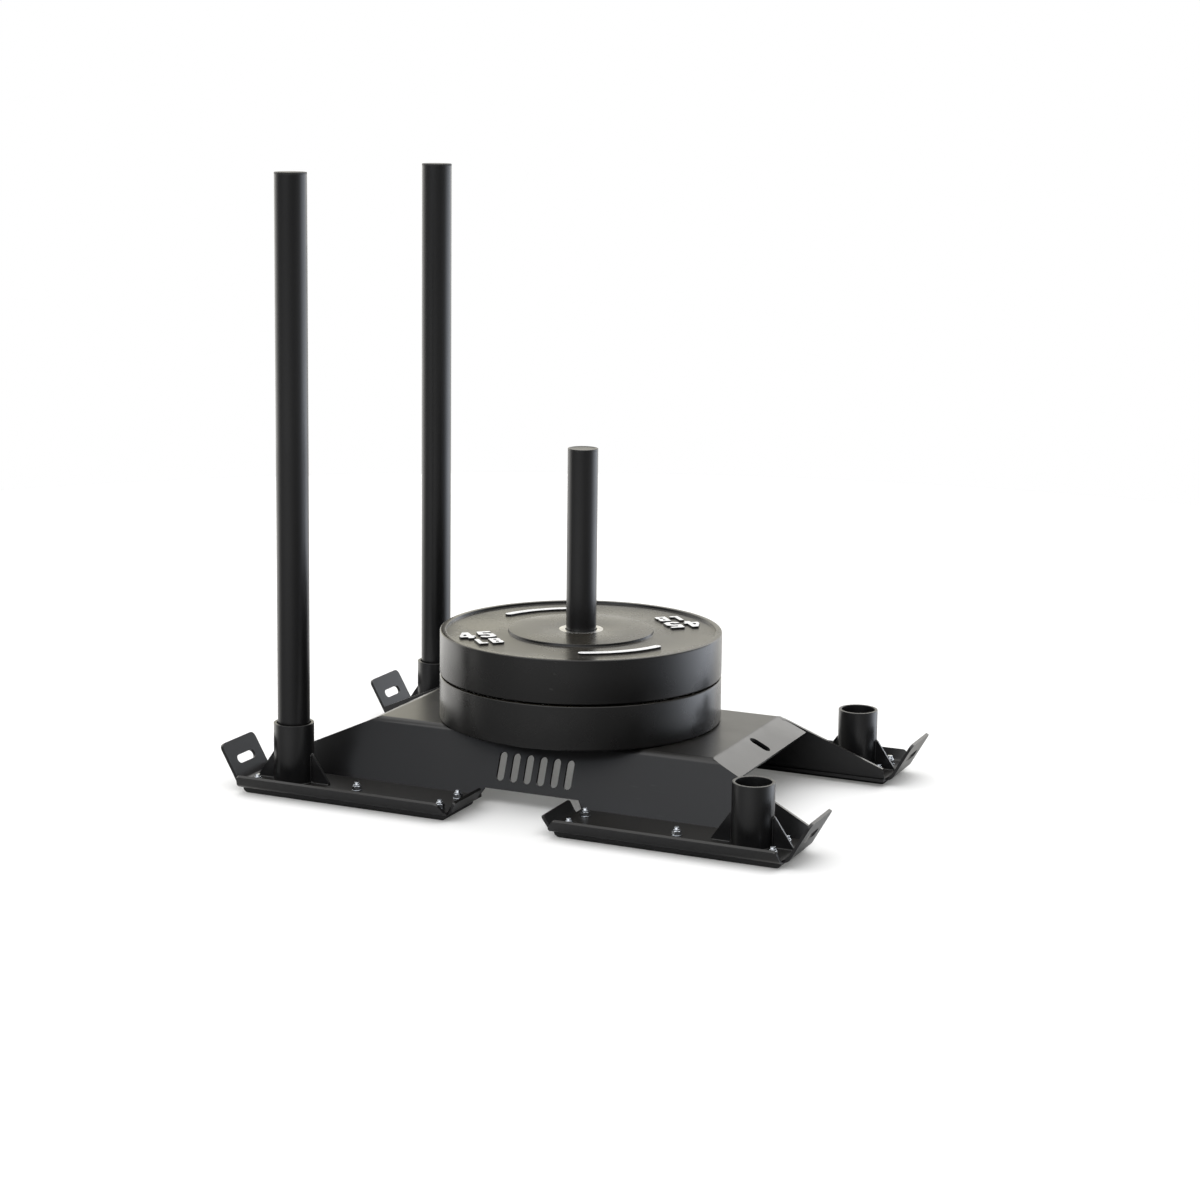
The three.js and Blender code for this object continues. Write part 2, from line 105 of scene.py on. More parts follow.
def length(name, description, default, high=1.0):
    """A length property in metres, given its default in millimetres."""
    return FloatProperty(name=name, description=description, default=default * MM, min=0.0, max=high,
                         subtype="DISTANCE", unit="LENGTH", precision=5)


def colour(name, description, default):
    """A linear colour property."""
    return FloatVectorProperty(name=name, description=description, default=default, min=0.0, max=1.0,
                               size=3, subtype="COLOR")


def share(name, description, default, high=1.0):
    """A plain number property, such as a roughness or a strength."""
    return FloatProperty(name=name, description=description, default=default, min=0.0, max=high,
                         subtype="FACTOR" if high <= 1 else "NONE")


class SledSizes(bpy.types.PropertyGroup):
    """Sizes that the photograph shows on the sled and that its plain solids leave out."""

    edge_radius: length("Sheet edge radius", "Rounding along the cut edges of the sheet steel", 0.55)
    socket_wall: length("Socket wall", "Wall of the upright pole sockets", 4.76)
    pole_wall: length("Pole wall", "Wall of the push poles", 3.2)
    pin_wall: length("Pin wall", "Wall of the loading pin", 4.0)
    rim_radius: length("Tube rim radius", "Rounding of the cut ends of the tubes", 0.8)
    cap_edge: length("Cap edge radius", "Rounding round the top of a tube cap", 1.0)
    plug_gap: length("Plug gap", "Gap between a cap's plug and the tube", 0.3)
    plate_edge: length("Plate edge radius", "Rounding round the outside of a rubber plate", 2.2)
    plate_rim: length("Plate rim width", "Width of the raised rim with its rounded edge", 9.2)
    plate_recess: length("Plate recess", "Depth of the face below the rim and the centre disc", 4.0)
    plate_disc: length("Plate disc radius", "Radius of the raised centre disc", 116.5)
    bore_radius: length("Hub bore radius", "Radius of the hole for the loading pin", 25.5)
    hub_edge: length("Hub edge radius", "Rounding of the hub's rims", 0.35)
    hub_depth: length("Hub depth", "How far a hub lies below the rubber round it", 1.4)
    nut_across: length("Nut across flats", "Width of a lock nut across its flats", 13.0)
    nut_height: length("Nut height", "Height of a lock nut without its collar", 6.2)
    collar: length("Collar", "Height of the locking collar of a nut", 2.3)
    washer: length("Washer", "Thickness of the washers", 1.6)
    bolt_radius: length("Bolt radius", "Radius of the thread of a skid bolt", 4.0)
    bolt_head: length("Bolt head", "Depth of the countersunk head of a skid bolt", 4.4)
    thread_pitch: length("Thread pitch", "Distance between the threads of a skid bolt", 1.25)
    bead_radius: length("Weld bead radius", "Half width of a weld bead", 2.0)
    bead_pitch: length("Weld bead pitch", "Distance between the ripples of a weld bead", 2.8)
    digit_height: length("Digit height", "Height of the raised weight numbers", 42.0)
    letter_height: length("Unit height", "Height of the letters of the weight unit", 32.0)
    bar_width: length("Bar width", "Width of the raised curved bars", 13.0)
    bar_radius: length("Bar radius", "Radius of the middle line of the curved bars", 165.0)
    mark_rise: length("Marking rise", "How far the raised markings stand up", 2.8)


class SledColours(bpy.types.PropertyGroup):
    """Colours and finishes of the sled."""

    powder: colour("Powder coat", "Black powder coat on all the steel", (0.0062, 0.0062, 0.0067))
    powder_rough: share("Powder coat roughness", "Satin sheen of the powder coat", 0.30)
    rubber: colour("Plate rubber", "Black moulded rubber of the plates", (0.0068, 0.0066, 0.0064))
    rubber_rough: share("Rubber roughness", "Sheen of the moulded rubber", 0.26)
    glide: colour("Glide pad", "Black plastic under the trays", (0.010, 0.010, 0.010))
    cap: colour("Pole cap", "Black plastic in the pole ends", (0.010, 0.010, 0.010))
    zinc: colour("Zinc", "Plated bolts, washers and nuts", (0.66, 0.69, 0.73))
    hub: colour("Hub steel", "Turned steel ring of a plate", (0.70, 0.69, 0.67))
    marking: colour("Marking", "Silver paint on the raised markings", (0.80, 0.80, 0.80))
    dust: colour("Dust", "Fine dust on upward surfaces", (0.23, 0.20, 0.145))


class SledStage(bpy.types.PropertyGroup):
    """Floor, light and camera."""

    floor_colour: colour("Floor", "Pale studio floor as it lights the sled", (0.52, 0.52, 0.52))
    floor_radius: length("Floor radius", "Radius of the floor disc", 3200, high=20.0)
    floor_seen: colour("Floor as seen", "The floor's colour to the camera alone", (0.80, 0.80, 0.80))
    floor_glow: colour("Floor glow", "Paleness the floor keeps in its shadows, to the camera alone",
                       (0.13, 0.13, 0.125))
    sky_strength: share("Studio strength", "Brightness of the studio round the sled", 1.0, high=5.0)
    lens: FloatProperty(name="Lens", description="Focal length on a 36 mm sensor", default=76.35, min=10.0,
                        max=300.0, unit="CAMERA")
    shift: FloatProperty(name="Vertical shift", description="Vertical shift of the camera", default=-0.125,
                         min=-1.0, max=1.0)
    place: FloatVectorProperty(name="Camera place", description="Where the camera stands", size=3,
                               default=(1.64349, -3.62131, 1.12407), subtype="TRANSLATION", unit="LENGTH")
    turn: FloatVectorProperty(name="Camera turn", description="Yaw, pitch and roll of the camera", size=3,
                              default=tuple(math.radians(a) for a in (24.024, 8.362, 0.646)),
                              subtype="EULER", unit="ROTATION")


# Shapes as functions on a grid

def unit(vectors):
    """Vectors brought to a length of one, where they have any."""
    return vectors / np.maximum(np.linalg.norm(vectors, axis=1), 1e-12)[:, None]


def rounded(corners, radii, steps=4, closed=True):
    """Outline whose corners are turned into arcs.

    Each corner becomes steps + 1 points, evenly spaced in angle, on the circle of its radius that
    touches both of its sides. It touches them radius times tan(half the turn) from the corner, and
    its centre is radius over cos(half the turn) away along the line that halves the corner.
    A corner with no radius, and each end of an open outline, stays one point.
    """
    p = np.asarray(corners, float)
    radius = np.broadcast_to(np.asarray(radii, float), len(p)).copy()
    if not closed:
        radius[[0, -1]] = 0
    back, ahead = unit(np.roll(p, 1, 0) - p), unit(np.roll(p, -1, 0) - p)
    half = (np.pi - np.arccos(np.clip((back * ahead).sum(1), -1, 1))) / 2
    sign = np.sign(ahead[:, 0] * back[:, 1] - ahead[:, 1] * back[:, 0])
    centre = p + unit(back + ahead) * (radius / np.cos(half))[:, None]
    start = p + back * (radius * np.tan(half))[:, None] - centre
    turn = (sign * 2 * half)[:, None] * np.linspace(0, 1, steps + 1)
    c, s = np.cos(turn), np.sin(turn)
    arc = np.stack([start[:, :1] * c - start[:, 1:] * s, start[:, :1] * s + start[:, 1:] * c], -1)
    arc += centre[:, None]
    arc[radius == 0] = p[radius == 0][:, None]
    keep = np.ones((len(p), steps + 1), bool)
    keep[radius == 0, 1:] = False
    return arc[keep]


def grid_faces(rows, columns, wrap_rows):
    """Four-sided faces over a grid of points, closed along each row and, if asked, down each column."""
    i = np.arange(rows if wrap_rows else rows - 1)[:, None]
    j = np.arange(columns)[None, :]
    i1, j1 = (i + 1) % rows, (j + 1) % columns
    quads = np.stack([i * columns + j, i * columns + j1, i1 * columns + j1, i1 * columns + j], -1)
    return quads.reshape(-1, 4)


def turned(profile, segments, ring=False, across=None):
    """Surface turned about Z, or cut to a hexagon wherever it reaches past the hexagon's flats.

    Point (u, v) is (R cos v, R sin v, z(u)), where the profile gives r and z in order, up the
    outside. R is r(u) or, if less, half the width across flats over cos w, where w is the angle from
    the middle of the nearest flat. A ring's profile closes on itself; any other starts and ends on
    the axis.
    """
    r, z = np.asarray(profile, float).T
    v = np.linspace(0, 2 * np.pi, segments, endpoint=False)
    radius = np.repeat(r[:, None], segments, 1)
    if across:
        radius = np.minimum(radius, across / 2 / np.cos((v + np.pi / 6) % (np.pi / 3) - np.pi / 6))
    points = np.stack([radius * np.cos(v), radius * np.sin(v), np.repeat(z[:, None], segments, 1)], -1)
    return points.reshape(-1, 3), grid_faces(len(r), segments, ring)


def welded(mesh, gap, flat=None):
    """Welds points nearer than a gap, merges flat faces or drops empty ones, and shades smooth."""
    shape = bmesh.new()
    shape.from_mesh(mesh)
    bmesh.ops.remove_doubles(shape, verts=shape.verts, dist=gap)
    if flat:
        bmesh.ops.dissolve_limit(shape, angle_limit=flat, verts=shape.verts, edges=shape.edges)
    else:
        bmesh.ops.dissolve_degenerate(shape, edges=shape.edges, dist=gap / 10)
    shape.to_mesh(mesh)
    shape.free()
    mesh.shade_smooth()


def tidy_mesh(mesh, smooth):
    """Welds a built mesh and keeps its edges sharp above an angle."""
    welded(mesh, WELD_GAP)
    mesh.set_sharp_from_angle(angle=smooth)


def linked(name, data):
    """New object of a data block, in the scene."""
    made = bpy.data.objects.new(name, data)
    bpy.context.scene.collection.objects.link(made)
    return made


def on_body(name, mesh, finish, body, nodes=()):
    """Object of a mesh with its finish, which rides on a body and replaces the nodes it shows."""
    piece = linked(name, mesh)
    mesh.materials.clear()
    mesh.materials.append(once(bpy.data.materials, FINISHES, finish))
    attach(piece, body)
    if nodes:
        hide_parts(*nodes)
    return piece


def shown(name, parts, body, slot, nodes=(), at=(0, 0, 0), smooth=SMOOTH):
    """Piece made of parts of points and four-sided faces, moved to its place, welded and shaded."""
    mesh = bpy.data.meshes.new(name)
    bases = np.cumsum([0] + [len(points) for points, _ in parts])
    points = np.concatenate([points for points, _ in parts]) + np.array(at)
    corners = np.concatenate([faces + base for (_, faces), base in zip(parts, bases)]).ravel()
    mesh.vertices.add(len(points))
    mesh.vertices.foreach_set("co", points.ravel())
    mesh.loops.add(len(corners))
    mesh.loops.foreach_set("vertex_index", corners)
    mesh.polygons.add(len(corners) // 4)
    mesh.polygons.foreach_set("loop_start", np.arange(0, len(corners), 4))
    mesh.update(calc_edges=True)
    tidy_mesh(mesh, smooth)
    return on_body(name, mesh, slot, body, nodes)


def node_axis(name):
    """Centre, radius, bottom and top of an upright round node."""
    low, high = (np.array(corner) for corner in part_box(name))
    centre = (low + high) / 2
    return centre[:2], (high[0] - low[0]) / 2, low[2], high[2]


def evenly(path, step, closed):
    """Points at an even distance along a path of straight stretches."""
    path = np.asarray(path, float)
    if closed:
        path = np.concatenate([path, path[:1]])
    along = np.concatenate([[0], np.cumsum(np.linalg.norm(np.diff(path, axis=0), axis=1))])
    places = np.linspace(0, along[-1], max(4, round(along[-1] / step)) + 1)
    if closed:
        places = places[:-1]
    return np.stack([np.interp(places, along, axis) for axis in path.T], 1), along[-1]


def weld_bead(path, side, sizes, closed=False):
    """Rippled rod laid along a path.

    Point (s, j) is path(s) + radius(s) (cos j a + sin j b), where a is the side direction made square
    to the path and b is square to both. The radius is R (0.84 + 0.16 |cos(pi s / pitch)|), and within
    R of an open end it is that times the root of 1 - (1 - s / R) squared, so that the end is round.
    """
    reach = sizes.bead_radius
    side = np.array(side, float)
    line, total = evenly(path, sizes.bead_pitch / 4, closed)
    count = len(line)
    s = np.linspace(0, total, count, endpoint=not closed)
    ahead = unit(np.roll(line, -1, 0) - np.roll(line, 1, 0) if closed else np.gradient(line, axis=0))
    first = unit(side - (ahead @ side)[:, None] * ahead)
    second = np.cross(ahead, first)
    radius = reach * (0.84 + 0.16 * np.abs(np.cos(np.pi * s / sizes.bead_pitch)))
    if not closed:
        near_end = np.clip(1 - np.minimum(s, total - s) / reach, 0, 1)
        radius *= np.sqrt(1 - near_end ** 2)
    turn = np.linspace(0, 2 * np.pi, WELD_ROUND, endpoint=False)
    round_it = first[:, None] * np.cos(turn)[:, None] + second[:, None] * np.sin(turn)[:, None]
    points = line[:, None] + radius[:, None, None] * round_it
    return points.reshape(-1, 3), grid_faces(count, WELD_ROUND, closed)


# Nodes and node groups shared by the finishes

def feed(tree, socket, value):
    """Links a socket into an input, or sets the input to a number, a vector or a colour."""
    if isinstance(value, bpy.types.NodeSocket):
        tree.links.new(value, socket)
    elif socket.type == "RGBA":
        socket.default_value = (*value, 1.0)
    else:
        socket.default_value = value


def new_node(tree, kind, inputs=(), **settings):
    """Shader node with its settings, and with inputs fed by their names or numbers."""
    node = tree.nodes.new(f"ShaderNode{kind}")
    for key, value in settings.items():
        setattr(node, key, value)
    for key, value in dict(inputs).items():
        feed(tree, node.inputs[key], value)
    return node


def math_node(tree, operation, *values, clamp=False):
    """Math on numbers or sockets; gives its output socket."""
    return new_node(tree, "Math", enumerate(values), operation=operation, use_clamp=clamp).outputs[0]


def product(tree, *values):
    """Product of several shares, given as sockets."""
    result = values[0]
    for value in values[1:]:
        result = math_node(tree, "MULTIPLY", result, value, clamp=True)
    return result


def noise(tree, vector, scale, detail=2.0, rough=0.5):
    """Noise texture read at a vector; gives its value socket."""
    inputs = {"Vector": vector, "Scale": scale, "Detail": detail, "Roughness": rough}
    return new_node(tree, "TexNoise", inputs).outputs[0]


def ranged(tree, value, low, high, out_low=0.0, out_high=1.0):
    """Value taken from one range to another along a smooth step."""
    inputs = {"Value": value, "From Min": low, "From Max": high, "To Min": out_low, "To Max": out_high}
    return new_node(tree, "MapRange", inputs, interpolation_type="SMOOTHSTEP").outputs[0]


def mixed_colour(tree, mask, first, second):
    """Colour between two, given as values or sockets, by a mask."""
    node = new_node(tree, "Mix", {"Factor": mask}, data_type="RGBA")
    for label, value in (("A", first), ("B", second)):
        feed(tree, next(s for s in node.inputs if s.name == label and s.type == "RGBA"), value)
    return next(s for s in node.outputs if s.type == "RGBA")


def mixed_shader(tree, mask, first, second):
    """Shader between two by a mask; gives its output socket."""
    return new_node(tree, "MixShader", {0: mask, 1: first, 2: second}).outputs[0]


def split(tree, vector):
    """The X, Y and Z sockets of a vector."""
    return new_node(tree, "SeparateXYZ", {0: vector}).outputs


def upward(tree, low, high):
    """How far a surface looks up, as a smooth step between two heights of its normal."""
    return ranged(tree, split(tree, new_node(tree, "NewGeometry").outputs["Normal"])[2], low, high)


def new_group(name, setting, default, result):
    """Shader node group from a vector and one number to one number; gives it and its sockets."""
    group = bpy.data.node_groups.new(name, "ShaderNodeTree")
    new_socket = group.interface.new_socket
    new_socket(name="Vector", in_out="INPUT", socket_type="NodeSocketVector")
    new_socket(name=setting, in_out="INPUT", socket_type="NodeSocketFloat").default_value = default
    new_socket(name=result, in_out="OUTPUT", socket_type="NodeSocketFloat")
    start = group.nodes.new("NodeGroupInput")
    end = group.nodes.new("NodeGroupOutput")
    return group, start.outputs[0], start.outputs[1], end.inputs[0]


def grain_group():
    """Fine skin of a coat or a moulding: two sizes of noise, the finer one a third as high."""
    group, vector, scale, height = new_group("Skin grain", "Scale", 500.0, "Height")
    fine = noise(group, vector, math_node(group, "MULTIPLY", scale, 3.1))
    feed(group, height, math_node(group, "MULTIPLY_ADD", fine, 0.33, noise(group, vector, scale)))
    return group


def patch_group():
    """Broad uneven patches, as handling and settling leave them."""
    group, vector, scale, mask = new_group("Broad patches", "Scale", 6.0, "Mask")
    feed(group, mask, ranged(group, noise(group, vector, scale, 4.0, 0.6), 0.35, 0.68))
    return group


def dust_group():
    """Dust: how far a surface looks up, broken by patches and fine specks."""
    group, vector, amount, mask = new_group("Settled dust", "Amount", 0.3, "Mask")
    patches = ranged(group, noise(group, vector, 9.0, 5.0, 0.62), 0.3, 0.72, 0.45, 1.0)
    specks = ranged(group, noise(group, vector, 900.0, 1.0), 0.5, 0.8, 0.7, 1.0)
    feed(group, mask, product(group, upward(group, 0.45, 0.98), patches, specks, amount))
    return group


def scuff_group():
    """Thin scuffs: noise stretched long in one direction, cut off high, kept to a few patches."""
    group, vector, amount, mask = new_group("Thin scuffs", "Amount", 0.5, "Mask")
    stretch = {"Vector": vector, "Rotation": (0.5, 0.3, 0.9), "Scale": (30.0, 420.0, 160.0)}
    stretched = new_node(group, "Mapping", stretch).outputs[0]
    lines = ranged(group, noise(group, stretched, 1.0, 1.0), 0.70, 0.80)
    where = ranged(group, noise(group, vector, 7.0, 2.0), 0.55, 0.7)
    feed(group, mask, product(group, lines, where, amount))
    return group


GROUPS = {"grain": grain_group, "patches": patch_group, "dust": dust_group, "scuffs": scuff_group}


def once(blocks, makers, kind):
    """The data block of a kind, made by its maker the first time it is asked for."""
    made = next((block for block in blocks if block.get("sled") == kind), None)
    if made is None:
        made = makers[kind]()
        made["sled"] = kind
    return made


def placed_group(tree, kind, vector, **values):
    """One shared group placed in a material; gives its output socket."""
    group = once(bpy.data.node_groups, GROUPS, kind)
    return new_node(tree, "Group", {"Vector": vector, **values}, node_tree=group).outputs[0]


# Finishes

def new_material(name):
    """Material with a Principled shader and the object's own coordinates."""
    material = bpy.data.materials.new(name)
    material.use_nodes = True
    tree = material.node_tree
    return material, tree, tree.nodes["Principled BSDF"], new_node(tree, "TexCoord").outputs["Object"]


def dress(tree, shader, tint, rough, height, depth):
    """Feeds a shader its colour, its roughness and the bump of a height socket."""
    bump = new_node(tree, "Bump", {"Height": height, "Distance": depth})
    feed(tree, shader.inputs["Base Color"], tint)
    feed(tree, shader.inputs["Roughness"], rough)
    feed(tree, shader.inputs["Normal"], bump.outputs[0])


def worn_black(name, tint, rough, scales, dust, dust_rough, scuffs, scuffed, specular=0.5):
    """Black skin with an uneven sheen, dust that may dull it, thin paler scuffs and a fine grain.

    The two scales are those of the patches and of the grain.
    """
    material, tree, shader, vector = new_material(name)
    shader.inputs["Specular IOR Level"].default_value = specular
    dusted = placed_group(tree, "dust", vector, Amount=dust)
    dusty = mixed_colour(tree, dusted, tint, bpy.context.scene.sled_colours.dust)
    marks = placed_group(tree, "scuffs", vector, Amount=scuffs)
    sheen = ranged(tree, placed_group(tree, "patches", vector, Scale=scales[0]), 0.0, 1.0, *rough)
    dress(tree, shader, mixed_colour(tree, marks, dusty, scuffed),
          math_node(tree, "MULTIPLY_ADD", dusted, dust_rough, sheen),
          placed_group(tree, "grain", vector, Scale=scales[1]), 0.00004)
    return material


def powder_coat():
    """Black satin powder coat: fine orange peel, uneven sheen, faint dust and scuffs."""
    look = bpy.context.scene.sled_colours
    rough = (look.powder_rough - 0.02, look.powder_rough + 0.03)
    return worn_black("powder_coat_finish", look.powder, rough, (5.0, 420.0), dust=0.05, dust_rough=1.5,
                      scuffs=0.1, scuffed=(0.10, 0.10, 0.10))


def rubber():
    """Black moulded rubber: matt skin, brownish bloom on the upper faces, soft scuffs."""
    look = bpy.context.scene.sled_colours
    rough = (look.rubber_rough - 0.03, look.rubber_rough + 0.05)
    return worn_black("rubber_finish", look.rubber, rough, (8.0, 800.0), dust=0.16, dust_rough=0.0,
                      scuffs=0.25, scuffed=(0.09, 0.09, 0.085), specular=0.4)


def mottled(tree, vector, scale, first, second, rough):
    """Colour and roughness that go from one to another in broad patches; gives both sockets."""
    patches = placed_group(tree, "patches", vector, Scale=scale)
    return mixed_colour(tree, patches, first, second), ranged(tree, patches, 0.0, 1.0, *rough)


def plastic(part):
    """Black moulded plastic of one kind of part, with a fine grain and rubbed patches."""
    tint = getattr(bpy.context.scene.sled_colours, part)
    material, tree, shader, vector = new_material(f"{part}_plastic_finish")
    looks = mottled(tree, vector, 14.0, tint, [min(1.0, c * 2.2) for c in tint], (0.42, 0.55))
    dress(tree, shader, *looks, placed_group(tree, "grain", vector, Scale=1400.0), 0.00005)
    return material


def zinc():
    """Bright zinc plating with a fine mottled crystal and duller patches."""
    bright = bpy.context.scene.sled_colours.zinc
    material, tree, shader, vector = new_material("zinc_finish")
    shader.inputs["Metallic"].default_value = 1.0
    looks = mottled(tree, vector, 160.0, [c * 0.72 for c in bright], bright, (0.14, 0.08))
    dress(tree, shader, *looks, placed_group(tree, "grain", vector, Scale=1800.0), 0.000006)
    return material


def hub_steel():
    """Turned steel: fine rings about the bore, with broad patches a little darker and rougher."""
    bright = bpy.context.scene.sled_colours.hub
    material, tree, shader, vector = new_material("hub_steel_finish")
    shader.inputs["Metallic"].default_value = 1.0
    x, y, _ = split(tree, vector)
    square = math_node(tree, "MULTIPLY_ADD", y, y, math_node(tree, "MULTIPLY", x, x))
    rings = math_node(tree, "MULTIPLY", math_node(tree, "SQRT", square), 9000.0)
    looks = mottled(tree, vector, 60.0, [c * 0.8 for c in bright], bright, (0.32, 0.24))
    dress(tree, shader, *looks, math_node(tree, "SINE", rings), 0.000004)
    return material


def marking_paint():
    """Silver paint on the tops of raised rubber markings, worn thin in small patches."""
    look = bpy.context.scene.sled_colours
    material, tree, shader, vector = new_material("marking_finish")
    paint, rough = mottled(tree, vector, 70.0, [c * 0.86 for c in look.marking], look.marking, (0.5, 0.4))
    tint = mixed_colour(tree, upward(tree, 0.55, 0.8), look.rubber, paint)
    dress(tree, shader, tint, rough, placed_group(tree, "grain", vector, Scale=1500.0), 0.00004)
    return material


FINISHES = {"powder_coat": powder_coat, "plate_rubber": rubber, "glide_plastic": lambda: plastic("glide"),
            "pole_cap_plastic": lambda: plastic("cap"), "zinc": zinc, "hub_steel": hub_steel,
            "marking": marking_paint}


# Pieces

# Dish in the pin's cap, and in a rubber plate the run of the recess's slanted sides as a share of its
# depth and the roundings from the rim's inner edge to the hub
PIN_DISH = 0.6 * MM
RECESS_SLOPE = 0.3
RECESS_ROUNDINGS = (0.0012, 0.001, 0.001, 0.0008, 0.0004)

# Bolt: its drive as shares of its radius and its head, the head's rim, and threads and point as
# shares of the pitch
DRIVE_RADIUS, DRIVE_DEPTH, HEAD_RIM = 0.55, 0.6, 0.1
THREAD_DEPTH, POINT_TAPER = 0.3, 0.1
# Nut: its end faces and its collar as shares of its width across flats, and the collar's sink
NUT_CHAMFER, COLLAR_RADIUS = 0.95, 0.87
COLLAR_SINK = 0.5 * MM

# Weld bead: how far its middle lies off the steel as a share of its radius, and points in a ring
BEAD_LIFT, BEAD_RING = 0.2, 240


def sheet_copy(node, name, slot="powder_coat"):
    """Merged copy of a sheet node with its edges rounded and its flat faces shaded flat."""
    mesh = frame["nodes"][node].data.copy()
    mesh.name = name
    welded(mesh, COPY_GAP, FLAT)
    piece = on_body(name, mesh, slot, frame["nodes"][node]["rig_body"], [node])
    rounding = piece.modifiers.new("Rounded edges", "BEVEL")
    rounding.width = bpy.context.scene.sled_sizes.edge_radius
    rounding.segments = 2
    rounding.limit_method = "ANGLE"
    rounding.angle_limit = SMOOTH
    rounding.miter_outer = "MITER_SHARP"
    even = piece.modifiers.new("Flat faces", "WEIGHTED_NORMAL")
    even.mode = "FACE_AREA"
    even.weight = 90


def tube_ring(radius, wall, bottom, top, edge, segments=ROUND):
    """Open tube: a ring turned from an upright wall whose four corners are rounded."""
    corners = [(radius - wall, bottom), (radius, bottom), (radius, top), (radius - wall, top)]
    return turned(rounded(corners, edge), segments, ring=True)


def show_tube(name, node, wall, edge, body="sled"):
    """Shows a round steel node as an open tube."""
    (x, y), radius, bottom, top = node_axis(node)
    shown(name, [tube_ring(radius, wall, bottom, top, edge)], body, "powder_coat", [node], (x, y, 0))


def show_cap(name, node, tube, wall, body, slot, dish=0.0):
    """Shows a node as a tube's cap: a plug under a flat top with a round edge, dished if asked."""
    sizes = bpy.context.scene.sled_sizes
    (x, y), radius, bottom, top = node_axis(node)
    plug, seat, edge = radius - wall - sizes.plug_gap, node_axis(tube)[3], sizes.cap_edge
    corners = [(0, bottom), (plug, bottom), (plug, seat), (radius, seat), (radius, top)]
    radii = [0, edge / 2, 0, 0, edge]
    if dish:
        corners += [(radius - 3 * edge, top), (radius - 3 * edge - dish, top - dish)]
        radii += [edge, edge / 2]
    section = rounded(corners + [(0, top - dish)], radii + [0], closed=False)
    shown(name, [turned(section, ROUND)], body, slot, [node], (x, y, 0))


class SLED_OT_sheet_steel(bpy.types.Operator):
    """Rounds and coats the bent deck hood, the four skid trays, the gussets and the doubler"""

    bl_idname = "sled.sheet_steel"
    bl_label = "Sheet steel"

    def execute(self, context):
        sheet_copy("deck_hood", "bent_deck_hood")
        sheet_copy("pin_doubler", "doubler_under_deck")
        for corner in CORNERS:
            sheet_copy(f"skid_tray_{corner}", f"bent_tray_{corner}")
            for side in ("inner", "outer"):
                sheet_copy(f"{side}_gusset_{corner}", f"{side}_rib_{corner}")
        return {"FINISHED"}


class SLED_OT_pole_sockets(bpy.types.Operator):
    """Turns the four open tubes that the push poles stand in"""

    bl_idname = "sled.pole_sockets"
    bl_label = "Pole sockets"

    def execute(self, context):
        sizes = context.scene.sled_sizes
        for corner in CORNERS:
            show_tube(f"socket_tube_{corner}", f"pole_socket_{corner}", sizes.socket_wall, sizes.rim_radius)
        return {"FINISHED"}


class SLED_OT_push_poles(bpy.types.Operator):
    """Turns the two push poles and the cap in the top of each"""

    bl_idname = "sled.push_poles"
    bl_label = "Push poles"

    def execute(self, context):
        sizes = context.scene.sled_sizes
        for side in SIDES:
            pole = f"push_pole_{side}"
            show_tube(f"pole_tube_{side}", pole, sizes.pole_wall, sizes.rim_radius / 2, pole)
            show_cap(f"pole_cap_{side}", f"push_pole_cap_{side}", pole, sizes.pole_wall, pole,
                     "pole_cap_plastic")
        return {"FINISHED"}


class SLED_OT_loading_pin(bpy.types.Operator):
    """Turns the loading pin and the dished cap that closes it"""

    bl_idname = "sled.loading_pin"
    bl_label = "Loading pin"

    def execute(self, context):
        sizes = context.scene.sled_sizes
        show_tube("pin_tube", "loading_pin", sizes.pin_wall, sizes.rim_radius / 2)
        show_cap("pin_cap", "loading_pin_cap", "loading_pin", sizes.pin_wall, "sled", "powder_coat",
                 PIN_DISH)
        return {"FINISHED"}


class SLED_OT_glide_pads(bpy.types.Operator):
    """Rounds and finishes the four glide pads"""

    bl_idname = "sled.glide_pads"
    bl_label = "Glide pads"

    def execute(self, context):
        for corner in CORNERS:
            sheet_copy(f"glide_pad_{corner}", f"pad_{corner}", "glide_plastic")
        return {"FINISHED"}


class SLED_OT_bumper_plates(bpy.types.Operator):
    """Turns the two rubber plates with their rims, recesses and centre discs"""

    bl_idname = "sled.bumper_plates"
    bl_label = "Bumper plates"

    def execute(self, context):
        sizes = context.scene.sled_sizes
        disc, slope = sizes.plate_disc, RECESS_SLOPE * sizes.plate_recess
        radii = [sizes.plate_edge, *RECESS_ROUNDINGS]
        for level in LEVELS:
            (x, y), radius, bottom, top = node_axis(f"{level}_plate_rubber")
            hub = node_axis(f"{level}_plate_hub")[1]
            half = (top - bottom) / 2
            low = half - sizes.plate_recess
            rim = radius - sizes.plate_rim
            upper = [(radius, half), (rim, half), (rim - slope, low), (disc, low), (disc - slope, half),
                     (hub, half)]
            lower = [(r, -z) for r, z in upper[::-1]]
            section = rounded(lower + upper, radii[::-1] + radii, steps=6)
            shown(f"{level}_rubber_plate", [turned(section, PLATE_ROUND, ring=True)], f"{level}_plate",
                  "plate_rubber", [f"{level}_plate_rubber"], (x, y, (top + bottom) / 2))
        return {"FINISHED"}


class SLED_OT_plate_hubs(bpy.types.Operator):
    """Turns the steel hub of each plate"""

    bl_idname = "sled.plate_hubs"
    bl_label = "Plate hubs"

    def execute(self, context):
        sizes = context.scene.sled_sizes
        for level in LEVELS:
            (x, y), radius, bottom, top = node_axis(f"{level}_plate_hub")
            ring = tube_ring(radius, radius - sizes.bore_radius, bottom + sizes.hub_depth,
                             top - sizes.hub_depth, sizes.hub_edge)
            shown(f"{level}_hub_ring", [ring], f"{level}_plate", "hub_steel", [f"{level}_plate_hub"],
                  (x, y, 0))
        return {"FINISHED"}


